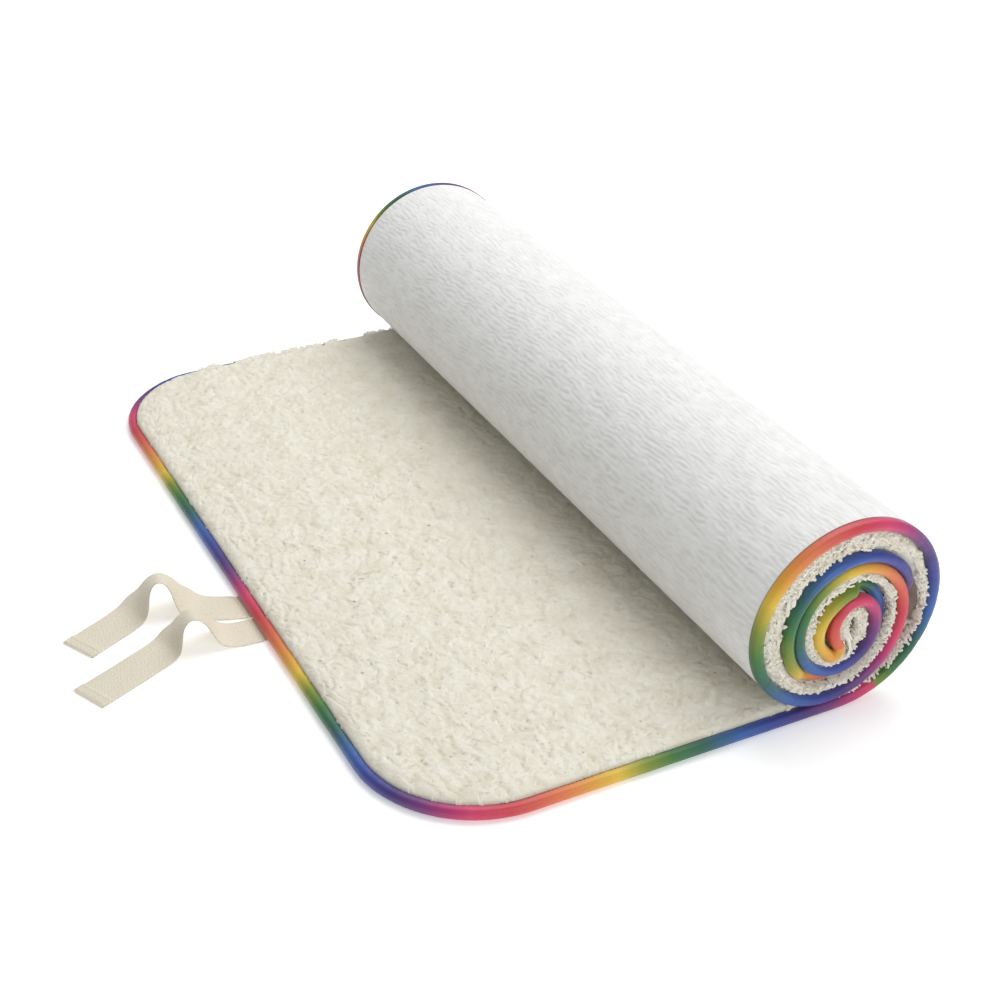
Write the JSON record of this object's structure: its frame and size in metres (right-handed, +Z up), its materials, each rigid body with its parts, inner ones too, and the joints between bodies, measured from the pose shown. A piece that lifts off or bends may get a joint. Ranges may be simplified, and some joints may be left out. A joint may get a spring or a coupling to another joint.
{
  "type": "half-rolled fleece exercise mat",
  "caption": "Exercise mat half rolled up: fleece pile on a ribbed rubber backing, tape-bound edge, and cloth ties at the free end that hold the closed roll.",
  "frame": {"origin": "on the floor under the roll's axis, on the underside of the backing, halfway across the mat", "axes": "+X along the mat from the free end towards the roll, +Y across the mat, +Z up from the floor"},
  "size_m": [0.6129, 0.75, 0.1712],
  "materials": {
    "backing": "matte, fine crinkled ribs across the mat",
    "pile": "deep curly wool fleece",
    "binding": "satin tape shaded through the rainbow along its length",
    "tie": "plain woven cotton tape"
  },
  "bodies": {
    "base": {"base_backing": "backing", "base_pile": "pile", "base_binding_front": "binding", "base_binding_back": "binding"},
    "panel": {"panel_backing": "backing", "panel_pile": "pile", "panel_binding": "binding", "tie_far_tail": "tie", "tie_near_tail": "tie"},
    "turn01": {"turn01_backing": "backing", "turn01_pile": "pile", "turn01_binding_front": "binding", "turn01_binding_back": "binding"},
    "turn02": {"turn02_backing": "backing", "turn02_pile": "pile", "turn02_binding_front": "binding", "turn02_binding_back": "binding"},
    "turn03": {"turn03_backing": "backing", "turn03_pile": "pile", "turn03_binding_front": "binding", "turn03_binding_back": "binding"},
    "turn04": {"turn04_backing": "backing", "turn04_pile": "pile", "turn04_binding_front": "binding", "turn04_binding_back": "binding"},
    "turn05": {"turn05_backing": "backing", "turn05_pile": "pile", "turn05_binding_front": "binding", "turn05_binding_back": "binding"},
    "turn06": {"turn06_backing": "backing", "turn06_pile": "pile", "turn06_binding_front": "binding", "turn06_binding_back": "binding"},
    "turn07": {"turn07_backing": "backing", "turn07_pile": "pile", "turn07_binding_front": "binding", "turn07_binding_back": "binding"},
    "turn08": {"turn08_backing": "backing", "turn08_pile": "pile", "turn08_binding_front": "binding", "turn08_binding_back": "binding"},
    "turn09": {"turn09_backing": "backing", "turn09_pile": "pile", "turn09_binding_front": "binding", "turn09_binding_back": "binding"},
    "turn10": {"turn10_backing": "backing", "turn10_pile": "pile", "turn10_binding_front": "binding", "turn10_binding_back": "binding"},
    "turn11": {"turn11_backing": "backing", "turn11_pile": "pile", "turn11_binding_front": "binding", "turn11_binding_back": "binding"},
    "core": {"core_backing": "backing", "core_pile": "pile", "core_binding": "binding"},
    "tie_far": {"tie_far": "tie"},
    "tie_near": {"tie_near": "tie"}
  },
  "joints": [
    {"name": "unroll_01", "type": "hinge", "parent": "base", "child": "turn01", "pos_m": [0.02445, 0, 0.00295], "axis": [0, 1, 0], "range_deg": [0, 28]},
    {"name": "unroll_02", "type": "hinge", "parent": "turn01", "child": "turn02", "pos_m": [0.06302, 0, 0.02519], "axis": [0, 1, 0], "range_deg": [0, 28]},
    {"name": "unroll_03", "type": "hinge", "parent": "turn02", "child": "turn03", "pos_m": [0.08504, 0, 0.06329], "axis": [0, 1, 0], "range_deg": [0, 28]},
    {"name": "unroll_04", "type": "hinge", "parent": "turn03", "child": "turn04", "pos_m": [0.08503, 0, 0.10692], "axis": [0, 1, 0], "range_deg": [0, 28]},
    {"name": "unroll_05", "type": "hinge", "parent": "turn04", "child": "turn05", "pos_m": [0.06292, 0, 0.14516], "axis": [0, 1, 0], "range_deg": [0, 28]},
    {"name": "unroll_06", "type": "hinge", "parent": "turn05", "child": "turn06", "pos_m": [0.02405, 0, 0.16756], "axis": [0, 1, 0], "range_deg": [0, 28]},
    {"name": "unroll_07", "type": "hinge", "parent": "turn06", "child": "turn07", "pos_m": [-0.02124, 0, 0.16758], "axis": [0, 1, 0], "range_deg": [0, 28]},
    {"name": "unroll_08", "type": "hinge", "parent": "turn07", "child": "turn08", "pos_m": [-0.05953, 0, 0.14554], "axis": [0, 1, 0], "range_deg": [0, 28]},
    {"name": "unroll_09", "type": "hinge", "parent": "turn08", "child": "turn09", "pos_m": [-0.08097, 0, 0.10851], "axis": [0, 1, 0], "range_deg": [0, 28]},
    {"name": "unroll_10", "type": "hinge", "parent": "turn09", "child": "turn10", "pos_m": [-0.08103, 0, 0.06709], "axis": [0, 1, 0], "range_deg": [0, 28]},
    {"name": "unroll_11", "type": "hinge", "parent": "turn10", "child": "turn11", "pos_m": [-0.06102, 0, 0.03232], "axis": [0, 1, 0], "range_deg": [0, 28]},
    {"name": "unroll_12", "type": "hinge", "parent": "turn11", "child": "core", "pos_m": [-0.02743, 0, 0.01286], "axis": [0, 1, 0], "range_deg": [0, 28]},
    {"name": "free_end_lift", "type": "hinge", "parent": "base", "child": "panel", "pos_m": [-0.12, 0, 0.0154], "axis": [0, 1, 0], "range_deg": [0, 75]},
    {"name": "tie_far_lift", "type": "hinge", "parent": "panel", "child": "tie_far", "pos_m": [-0.3671, -0.041, 0.0013], "axis": [0, 1, 0], "range_deg": [0, 85]},
    {"name": "tie_near_lift", "type": "hinge", "parent": "panel", "child": "tie_near", "pos_m": [-0.3671, -0.077, 0.0013], "axis": [0, 1, 0], "range_deg": [0, 85]}
  ],
  "couplings": [
    {"joint": "unroll_02", "follows": "unroll_01", "ratio": 1},
    {"joint": "unroll_03", "follows": "unroll_01", "ratio": 1},
    {"joint": "unroll_04", "follows": "unroll_01", "ratio": 1},
    {"joint": "unroll_05", "follows": "unroll_01", "ratio": 1},
    {"joint": "unroll_06", "follows": "unroll_01", "ratio": 1},
    {"joint": "unroll_07", "follows": "unroll_01", "ratio": 1},
    {"joint": "unroll_08", "follows": "unroll_01", "ratio": 1},
    {"joint": "unroll_09", "follows": "unroll_01", "ratio": 1},
    {"joint": "unroll_10", "follows": "unroll_01", "ratio": 1},
    {"joint": "unroll_11", "follows": "unroll_01", "ratio": 1},
    {"joint": "unroll_12", "follows": "unroll_01", "ratio": 1}
  ]
}
